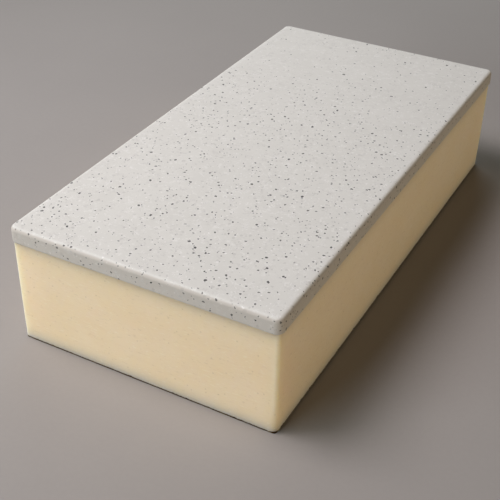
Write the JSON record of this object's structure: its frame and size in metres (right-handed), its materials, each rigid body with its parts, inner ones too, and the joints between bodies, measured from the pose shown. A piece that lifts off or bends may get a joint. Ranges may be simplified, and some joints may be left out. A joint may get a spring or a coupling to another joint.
{
  "type": "facade insulation board",
  "caption": "Rigid foam insulation block with a speckled stone facing slab bonded over its front face, for cladding an outside wall.",
  "frame": {"origin": "centre of the foam's back face, on the surface that the board lies on", "axes": "+Z out of the stone facing, +Y along the board's length, +X across its width"},
  "size_m": [0.3, 0.6, 0.138],
  "materials": {
    "foam": "matt sawn closed-cell foam, pale cream yellow",
    "stone": "honed light warm-grey stone with fine dark speckles"
  },
  "bodies": {
    "root": {"foam_core": "foam", "stone_facing": "stone"}
  },
  "joints": []
}
